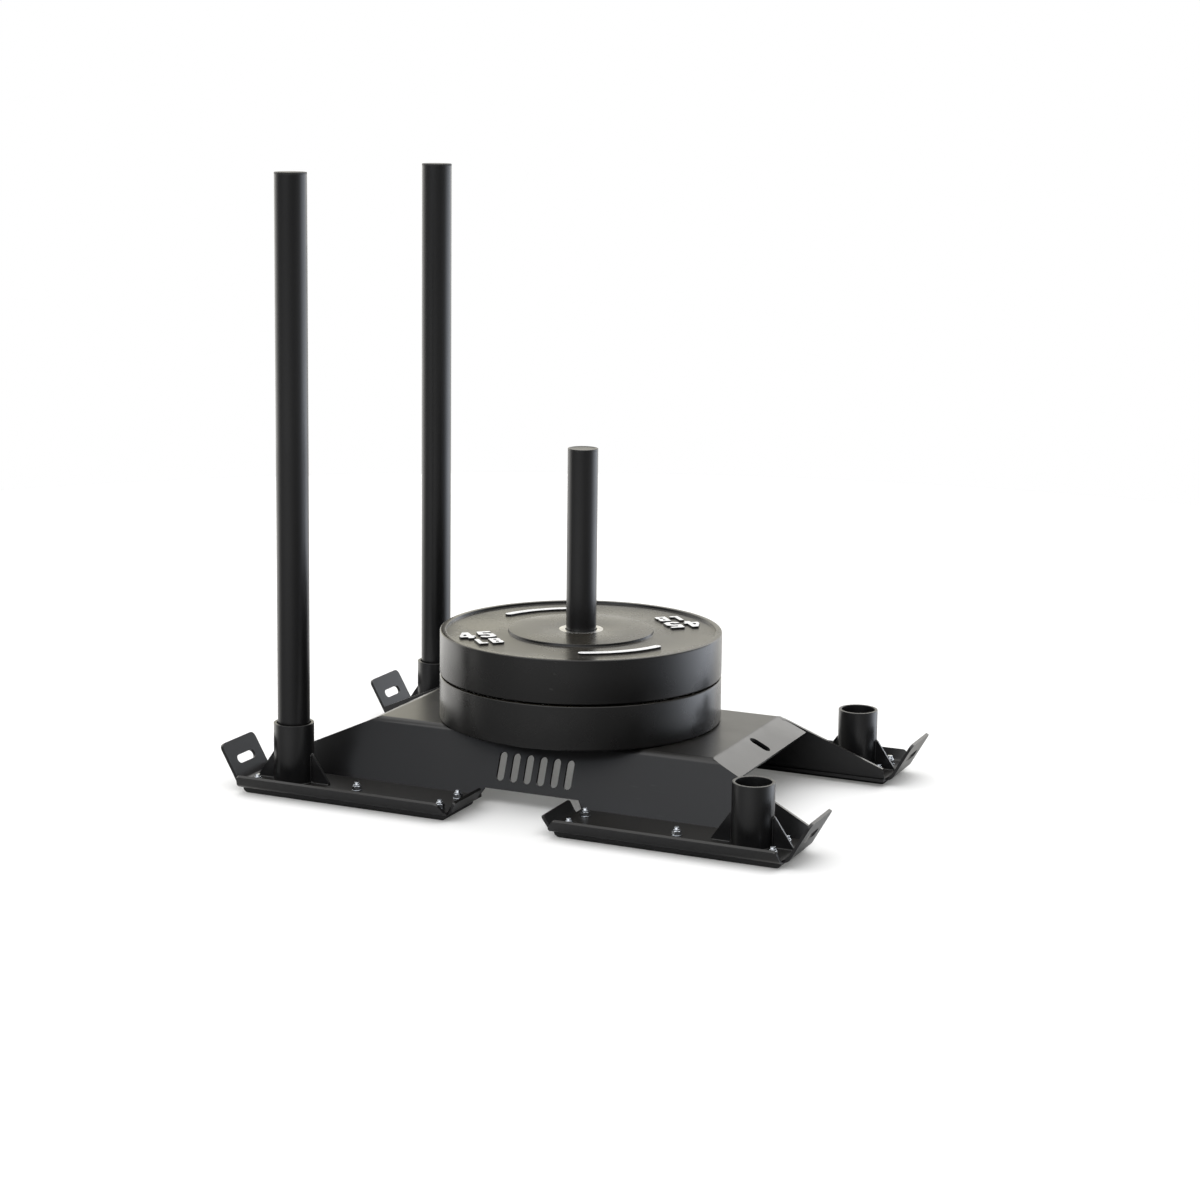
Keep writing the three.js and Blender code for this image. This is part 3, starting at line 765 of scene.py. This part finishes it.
def threaded_bolt(sizes, low, high, head_radius, thread_from):
    """Countersunk bolt with a round drive in its head and threads up to a chamfered end.

    The thread's profile goes in and out by a straight line over each pitch.
    """
    r, pitch, depth = sizes.bolt_radius, sizes.thread_pitch, sizes.bolt_head
    drive, drive_top = DRIVE_RADIUS * r, low + DRIVE_DEPTH * depth
    step = np.arange(2 * int((high - thread_from) / pitch))
    z = thread_from + step * pitch / 2
    thread = np.stack([np.where(step % 2, r - THREAD_DEPTH * pitch, r), z], 1)
    head = [(0, drive_top), (drive, drive_top), (drive, low), (head_radius, low),
            (head_radius, low + HEAD_RIM * depth), (r, low + depth)]
    end = rounded([(r, z[-1] + pitch / 2), (r - POINT_TAPER * pitch, high), (0, high)],
                  [0, pitch / 2, 0], closed=False)
    return turned(np.concatenate([head, thread, end]), SMALL_ROUND)


def lock_nut(sizes, low, high):
    """Hexagonal nut chamfered at both ends, as a ring about the bolt."""
    flat = sizes.nut_across / 2
    inner, corner = NUT_CHAMFER * flat, flat / math.cos(math.pi / 6)
    slope = np.linspace(0, 1, 5)
    reach = inner + (corner - inner) * slope
    rise = (corner - inner) * slope * math.tan(math.pi / 6)
    bottom = np.stack([reach, low + rise], 1)
    top = np.stack([reach, high - rise], 1)[::-1]
    bore = sizes.bolt_radius
    section = np.concatenate([[(bore, low)], bottom, top, [(bore, high)]])
    return turned(section, NUT_ROUND, True, sizes.nut_across)


def nut_collar(sizes, nut_top):
    """Round collar on a lock nut, sunk a little into it."""
    bore, outer = sizes.bolt_radius, COLLAR_RADIUS * sizes.nut_across / 2
    low, high = nut_top - COLLAR_SINK, nut_top + sizes.collar
    corners = [(bore, low), (outer, low), (outer, high), (bore, high)]
    radii = [0, 0, 0.4 * sizes.collar, 0.3 * sizes.collar]
    return turned(rounded(corners, radii), SMALL_ROUND, ring=True)


class SLED_OT_skid_bolts(bpy.types.Operator):
    """Builds the bolt, washer and lock nut at each of the twenty bolt places"""

    bl_idname = "sled.skid_bolts"
    bl_label = "Skid bolts"

    def execute(self, context):
        sizes = context.scene.sled_sizes
        for corner in CORNERS:
            seat = node_axis(f"pole_socket_{corner}")[2]
            nut_low = seat + sizes.washer
            nut_high = nut_low + sizes.nut_height
            for count in range(1, BOLTS_PER_TRAY + 1):
                node = f"skid_bolt_{corner}_{count}"
                (x, y), radius, low, high = node_axis(node)
                wall = radius - sizes.bolt_radius
                parts = [tube_ring(radius, wall, seat, nut_low, sizes.washer / 4, ROUND // 2),
                         lock_nut(sizes, nut_low, nut_high), nut_collar(sizes, nut_high),
                         threaded_bolt(sizes, low, high, radius, nut_low)]
                shown(f"bolt_{corner}_{count}", parts, "sled", "zinc", [node], (x, y, 0))
        return {"FINISHED"}


class SLED_OT_weld_beads(bpy.types.Operator):
    """Lays the weld beads round the foot of each socket and along its gusset plates"""

    bl_idname = "sled.weld_beads"
    bl_label = "Weld beads"

    def execute(self, context):
        sizes = context.scene.sled_sizes
        lift = BEAD_LIFT * sizes.bead_radius
        turn = np.linspace(0, 2 * np.pi, BEAD_RING, endpoint=False)
        for corner in CORNERS:
            (x, y), radius, foot, _ = node_axis(f"pole_socket_{corner}")
            ring = np.stack([x + (radius + lift) * np.cos(turn), y + (radius + lift) * np.sin(turn),
                             np.full(BEAD_RING, foot + lift)], 1)
            beads = [weld_bead(ring, (0, 0, 1), sizes, closed=True)]
            for side in ("inner", "outer"):
                low, high = (np.array(v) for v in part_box(f"{side}_gusset_{corner}"))
                outward = 1 if low[0] > x else -1
                heel, toe = (low[0], high[0]) if outward > 0 else (high[0], low[0])
                line = rounded([(toe, foot), (heel, foot), (heel, high[2])], 2 * sizes.bead_radius,
                               closed=False)
                for face in (low[1] - lift, high[1] + lift):
                    path = np.insert(line, 1, face, axis=1)
                    beads.append(weld_bead(path, (0, 1, 0), sizes))
                top = [(heel + outward * lift, y_end, high[2])
                       for y_end in (low[1] - 2 * lift, high[1] + 2 * lift)]
                beads.append(weld_bead(top, (0, 0, 1), sizes))
            shown(f"welds_{corner}", beads, "sled", "powder_coat", smooth=math.radians(60))
        return {"FINISHED"}


# Figures of the marking in hundredths of their height: their width, and an outline with its holes,
# of straight sides with rounded corners
FIGURES = {
    "4": (59, (((25, 100), (49, 100), (49, 42), (59, 42), (59, 21), (49, 21), (49, 0), (26, 0), (26, 21),
                (0, 21), (0, 43)),
               ((29, 41), (29, 75), (13, 41)))),
    "5": (59, (((4, 100), (57, 100), (57, 80), (23, 80), (22, 64), (38, 66), (60, 56), (61, 12), (42, 0),
                (16, 0), (0, 10), (0, 27), (21, 25), (23, 20), (35, 19), (39, 26), (39, 40), (33, 47),
                (22, 47), (19, 47), (1, 49)),)),
    "L": (47, (((0, 100), (24, 100), (24, 23), (47, 23), (47, 0), (0, 0)),)),
    "B": (59, (((0, 100), (46, 100), (56, 92), (56, 61), (50, 52), (59, 44), (59, 8), (48, 0), (0, 0)),
               ((22, 82), (22, 62), (36, 62), (36, 82)),
               ((22, 42), (22, 18), (38, 18), (38, 42)))),
}

# Markings about the plate's axis: each line reads along a bearing, and has its figures, the setting of
# their height, its start along the bearing and its base to the left of it
MARK_BEARING = math.radians(42)
MARK_LINES = (("45", "digit_height", -200 * MM, -15.5 * MM), ("LB", "letter_height", -183.5 * MM, -57 * MM))
FIGURE_GAP = 7 * MM
BAR_FROM, BAR_TO = math.radians(-65), math.radians(-20)
# Rounding of a figure's corners as a share of its height, bevel of a marking, and how much further
# than it rises it reaches down into the rubber
FIGURE_ROUNDING, MARK_BEVEL, MARK_SINK = 0.035, 0.5 * MM, 0.2
BAR_POINTS, BAR_END_POINTS = 49, 13


def raised(name, outlines, low, rise):
    """Flat mesh-filled outlines raised into a bevelled solid, standing on a height."""
    curve = bpy.data.curves.new(name, "CURVE")
    curve.dimensions = "2D"
    curve.fill_mode = "BOTH"
    curve.extrude = rise / 2 - MARK_BEVEL
    curve.bevel_depth = MARK_BEVEL
    curve.bevel_resolution = 2
    curve.offset = -MARK_BEVEL
    for outline in outlines:
        spline = curve.splines.new("POLY")
        spline.points.add(len(outline) - 1)
        place = np.pad(outline, ((0, 0), (0, 2)))
        place[:, 3] = 1
        spline.points.foreach_set("co", place.ravel())
        spline.use_cyclic_u = True
    shape = linked(name, curve)
    mesh = bpy.data.meshes.new_from_object(shape.evaluated_get(bpy.context.evaluated_depsgraph_get()))
    bpy.data.objects.remove(shape)
    bpy.data.curves.remove(curve)
    mesh.name = name
    mesh.transform(Matrix.Translation((0, 0, low + rise / 2)))
    return mesh


class SLED_OT_weight_markings(bpy.types.Operator):
    """Raises the weight, its unit and two curved bars on the top of each rubber plate"""

    bl_idname = "sled.weight_markings"
    bl_label = "Weight markings"

    def execute(self, context):
        sizes = context.scene.sled_sizes
        for level in LEVELS:
            centre, _, _, top = node_axis(f"{level}_plate_rubber")
            foot = top - sizes.plate_recess - MARK_SINK * sizes.mark_rise
            outlines = []
            for half_turn in (0, math.pi):
                outlines += self.weight(sizes, MARK_BEARING + half_turn)
                outlines.append(self.bar(sizes, BAR_FROM + half_turn, BAR_TO + half_turn))
            name = f"{level}_markings"
            mesh = raised(name, [outline + centre for outline in outlines], foot,
                          (1 + MARK_SINK) * sizes.mark_rise)
            tidy_mesh(mesh, math.radians(35))
            on_body(name, mesh, "marking", f"{level}_plate")
        return {"FINISHED"}

    def weight(self, sizes, bearing):
        """Outlines of the two lines of the weight, turned to their bearing about the plate's axis."""
        outlines = []
        for figures, setting, start, base in MARK_LINES:
            height = getattr(sizes, setting)
            for figure in figures:
                width, shapes = FIGURES[figure]
                for shape in shapes:
                    corners = np.array(shape) * height / 100 + (start, base)
                    outlines.append(rounded(corners, FIGURE_ROUNDING * height))
                start += width * height / 100 + FIGURE_GAP
        c, s = math.cos(bearing), math.sin(bearing)
        return [outline @ np.array([[c, s], [-s, c]]) for outline in outlines]

    def bar(self, sizes, start, stop):
        """Bar of even width bent round the plate's axis, with round ends.

        Its outline is an arc on the outside, a half circle, an arc back on the inside and a half
        circle, clockwise.
        """
        arc = np.linspace(start, stop, BAR_POINTS)
        end = np.linspace(0, math.pi, BAR_END_POINTS)[1:-1]
        half = sizes.bar_width / 2

        def on_circle(turn, radius, centre=(0.0, 0.0)):
            return np.stack([np.cos(turn), np.sin(turn)], 1) * radius + centre

        first, last = on_circle(np.array([start, stop]), sizes.bar_radius)
        outline = [on_circle(arc, sizes.bar_radius + half), on_circle(stop + end, half, last),
                   on_circle(arc[::-1], sizes.bar_radius - half),
                   on_circle(start + math.pi + end, half, first)]
        return np.concatenate(outline)[::-1]


# Studio

# Brightness of the studio: for each height of a direction, stretches of one tint, each with levels
# at bearings counted in degrees from the one that points back along the view, positive to the right
BACKDROP, SILL, WINDOW, ROOM = (1.0, 0.985, 0.95), (1.0, 0.945, 0.72), (0.93, 0.98, 1.07), (1.0, 1.0, 1.0)
STUDIO = (
    (-0.30, ((BACKDROP, (-180, 0.8), (-127, 1.1), (-106, 0.55)),
             (ROOM, (-88, 0.25), (-66, 0.35), (-40, 0.45), (-17, 0.4), (0, 0.28), (15, 0.17), (30, 0.07),
              (46, 0.03), (58, 0.08)),
             (WINDOW, (70, 0.28), (84, 0.65), (96, 1.2), (106, 1.7), (118, 1.5), (131, 0.7)),
             (BACKDROP, (145, 0.75), (180, 0.8)))),
    (-0.16, ((BACKDROP, (-180, 1.0), (-140, 2.2), (-122, 2.6), (-108, 1.7), (-96, 1.1)),
             (ROOM, (-84, 0.42), (-60, 0.6), (-47, 0.8), (-30, 0.92), (-16, 0.92), (0, 0.7), (15, 0.5),
              (30, 0.42), (45, 0.42)),
             (WINDOW, (58, 0.6), (73, 1.2), (86, 2.3), (97, 3.4), (115, 3.7), (130, 2.7)),
             (BACKDROP, (145, 1.6), (180, 1.0)))),
    (0.04, ((BACKDROP, (-180, 2.0), (-145, 2.2), (-122, 2.0), (-106, 1.2)),
            (ROOM, (-90, 0.3), (-40, 0.5), (20, 0.3), (70, 0.6)), (WINDOW, (95, 2.6), (125, 2.8)),
            (BACKDROP, (145, 2.2), (180, 2.0)))),
    (0.20, ((SILL, (-180, 0.85), (-165, 1.05), (-140, 1.6)), (BACKDROP, (-110, 1.4)),
            (ROOM, (-90, 0.2), (-25, 0.3), (0, 0.2), (40, 0.12), (70, 0.5)),
            (WINDOW, (90, 1.8), (112, 1.8), (126, 1.6), (132, 5.0), (141, 5.0)),
            (SILL, (149, 1.3), (165, 0.95), (180, 0.85)))),
    (0.27, ((BACKDROP, (-180, 1.2)), (SILL, (-175, 2.0), (-165, 2.0)), (BACKDROP, (-140, 2.4), (-112, 2.4)),
            (ROOM, (-90, 0.4), (-62, 0.15), (-50, 0.3), (-25, 0.5), (0, 0.2), (40, 0.12), (80, 0.12),
             (131, 0.3)),
            (BACKDROP, (143, 0.8), (152, 1.1), (165, 1.05), (180, 1.1)))),
    (0.42, ((BACKDROP, (-180, 0.8), (-155, 1.4), (-128, 2.8), (-106, 1.6)),
            (ROOM, (-88, 0.15), (-64, 0.08), (-56, 0.12)), (WINDOW, (-47, 2.2), (-25, 1.9)),
            (ROOM, (0, 0.3), (60, 0.15), (115, 0.15), (134, 0.6)),
            (BACKDROP, (145, 3.4), (156, 5.0), (166, 2.8), (180, 0.9)))),
    (0.50, ((ROOM, (-180, 0.8), (-128, 2.2), (-90, 0.5), (-60, 0.2), (-45, 1.0), (-20, 1.4), (20, 0.8),
             (60, 0.2), (120, 0.2), (145, 3.0), (156, 4.4), (166, 2.4), (180, 0.8)),)),
    (0.66, ((ROOM, (-180, 1.4), (-125, 1.2), (-100, 2.0), (-60, 2.8), (-15, 2.8), (15, 1.4), (45, 0.5),
             (120, 0.5), (180, 1.4)),)),
    (0.90, ((ROOM, (-180, 1.4), (-90, 1.4), (0, 1.9), (60, 2.2), (120, 2.2), (180, 1.4)),)),
)
BRIGHTEST = 5.0
# Where reflections stop seeing the floor, as shares of the way to the edge of the sled's box
FLOOR_FADE = (1.15, 1.45)


def bearing_ramp(tree, place, stretches):
    """Colours by bearing, straight from one stop to the next, as shares of the brightest."""
    ramp = new_node(tree, "ValToRGB", {0: place})
    elements = ramp.color_ramp.elements
    elements.remove(elements[1])
    stops = [(bearing, level, tint) for tint, *run in stretches for bearing, level in run]
    for count, (bearing, level, tint) in enumerate(stops):
        element = elements.new(bearing / 360 + 0.5) if count else elements[0]
        element.position = bearing / 360 + 0.5
        element.color = (*(level * c / BRIGHTEST for c in tint), 1.0)
    return ramp.outputs[0]


def studio_world():
    """World that is plain white to the camera and a studio to everything else.

    Low down it has a bright backdrop behind the sled, a cool window on the right and a dim room in
    front. Higher up it has bright lights behind, a broad soft one in front on the left and a soft one
    overhead.
    """
    world = bpy.data.worlds.new("studio")
    world.use_nodes = True
    tree = world.node_tree
    tree.nodes.clear()
    x, y, z = split(tree, new_node(tree, "TexCoord").outputs["Generated"])
    stage = bpy.context.scene.sled_stage
    c, s = math.cos(stage.turn[0]), math.sin(stage.turn[0])
    right = math_node(tree, "MULTIPLY_ADD", x, c, math_node(tree, "MULTIPLY", y, s))
    back = math_node(tree, "MULTIPLY_ADD", x, s, math_node(tree, "MULTIPLY", y, -c))
    bearing = math_node(tree, "ARCTAN2", right, back)
    place = math_node(tree, "MULTIPLY_ADD", bearing, 1 / (2 * math.pi), 0.5)
    look = bearing_ramp(tree, place, STUDIO[0][1])
    for (low, _), (high, stretches) in zip(STUDIO, STUDIO[1:]):
        look = mixed_colour(tree, ranged(tree, z, low, high), look, bearing_ramp(tree, place, stretches))
    studio = new_node(tree, "Background", {"Color": look, "Strength": BRIGHTEST * stage.sky_strength})
    white = new_node(tree, "Background", {"Color": (1, 1, 1)})
    seen = new_node(tree, "LightPath").outputs["Is Camera Ray"]
    surface = mixed_shader(tree, seen, studio.outputs[0], white.outputs[0])
    new_node(tree, "OutputWorld", {"Surface": surface})
    bpy.context.scene.world = world


def floor_finish():
    """Pale floor that keeps the sled's shadow and reads as white round it.

    The camera sees it paler than it lights the sled, with a little glow in its shadows. A reflection
    sees it near the sled, with its shadow, and the studio beyond.
    """
    look = bpy.context.scene.sled_stage
    material, tree, shader, vector = new_material("floor_finish")
    path = new_node(tree, "LightPath")
    seen = path.outputs["Is Camera Ray"]
    shader.inputs["Roughness"].default_value = 0.9
    shader.inputs["Specular IOR Level"].default_value = 0.0
    shader.inputs["Emission Strength"].default_value = 1.0
    feed(tree, shader.inputs["Base Color"], mixed_colour(tree, seen, look.floor_colour, look.floor_seen))
    feed(tree, shader.inputs["Emission Color"], mixed_colour(tree, seen, (0, 0, 0), look.floor_glow))
    half = (cad_box[1][0], cad_box[1][1], 1.0)
    shares = new_node(tree, "VectorMath", {0: vector, 1: half}, operation="DIVIDE").outputs[0]
    reach = new_node(tree, "VectorMath", {0: shares}, operation="LENGTH").outputs["Value"]
    far = product(tree, ranged(tree, reach, *FLOOR_FADE), path.outputs["Is Glossy Ray"])
    clear = new_node(tree, "BsdfTransparent").outputs[0]
    surface = mixed_shader(tree, far, shader.outputs[0], clear)
    feed(tree, tree.nodes["Material Output"].inputs["Surface"], surface)
    return material


class SLED_OT_stage(bpy.types.Operator):
    """Sets up the floor, the studio light and the camera"""

    bl_idname = "sled.stage"
    bl_label = "Stage"

    def execute(self, context):
        look = context.scene.sled_stage
        points, faces = turned([(look.floor_radius, 0.0), (0.0, 0.0)], ROUND)
        mesh = bpy.data.meshes.new("studio_floor")
        mesh.from_pydata(points, [], faces)
        tidy_mesh(mesh, SMOOTH)
        mesh.materials.append(floor_finish())
        floor = linked("studio_floor", mesh)
        studio_world()
        self.place_camera(context, look)
        context.scene.view_settings.view_transform = "Standard"
        return {"FINISHED"}

    def place_camera(self, context, look):
        """Camera turned by yaw from +Y, then pitched down, then rolled about its own view."""
        yaw, pitch, roll = look.turn
        data = bpy.data.cameras.new("view")
        data.sensor_width = 36.0
        data.lens = look.lens
        data.shift_y = look.shift
        camera = linked("view", data)
        matrix = Matrix.Translation(look.place)
        for angle, axis in ((yaw, "Z"), (math.pi / 2 - pitch, "X"), (roll, "Z")):
            matrix = matrix @ Matrix.Rotation(angle, 4, axis)
        camera.matrix_world = matrix
        context.scene.camera = camera


PIECES = (SLED_OT_sheet_steel, SLED_OT_pole_sockets, SLED_OT_push_poles, SLED_OT_loading_pin,
          SLED_OT_glide_pads, SLED_OT_bumper_plates, SLED_OT_plate_hubs, SLED_OT_weight_markings,
          SLED_OT_skid_bolts, SLED_OT_weld_beads, SLED_OT_stage)
SETTINGS = {"sled_sizes": SledSizes, "sled_colours": SledColours, "sled_stage": SledStage}


class SLED_PT_panel(bpy.types.Panel):
    """Lists the pieces of the sled and their settings"""

    bl_idname = "SLED_PT_panel"
    bl_label = "Drag Sled"
    bl_space_type = "VIEW_3D"
    bl_region_type = "UI"
    bl_category = "Drag Sled"

    def draw(self, context):
        for piece in PIECES:
            self.layout.operator(piece.bl_idname)
        for settings in SETTINGS:
            group = getattr(context.scene, settings)
            box = self.layout.box()
            for key in group.__annotations__:
                box.prop(group, key)


CLASSES = (*SETTINGS.values(), *PIECES, SLED_PT_panel)


def register():
    for cls in CLASSES:
        bpy.utils.register_class(cls)
    for key, settings in SETTINGS.items():
        setattr(bpy.types.Scene, key, PointerProperty(type=settings))


def unregister():
    for key in SETTINGS:
        delattr(bpy.types.Scene, key)
    for cls in reversed(CLASSES):
        bpy.utils.unregister_class(cls)


def main():
    """Builds every piece and the stage."""
    register()
    for piece in PIECES:
        group, name = piece.bl_idname.split(".")
        getattr(getattr(bpy.ops, group), name)()


if __name__ == "__main__":
    main()
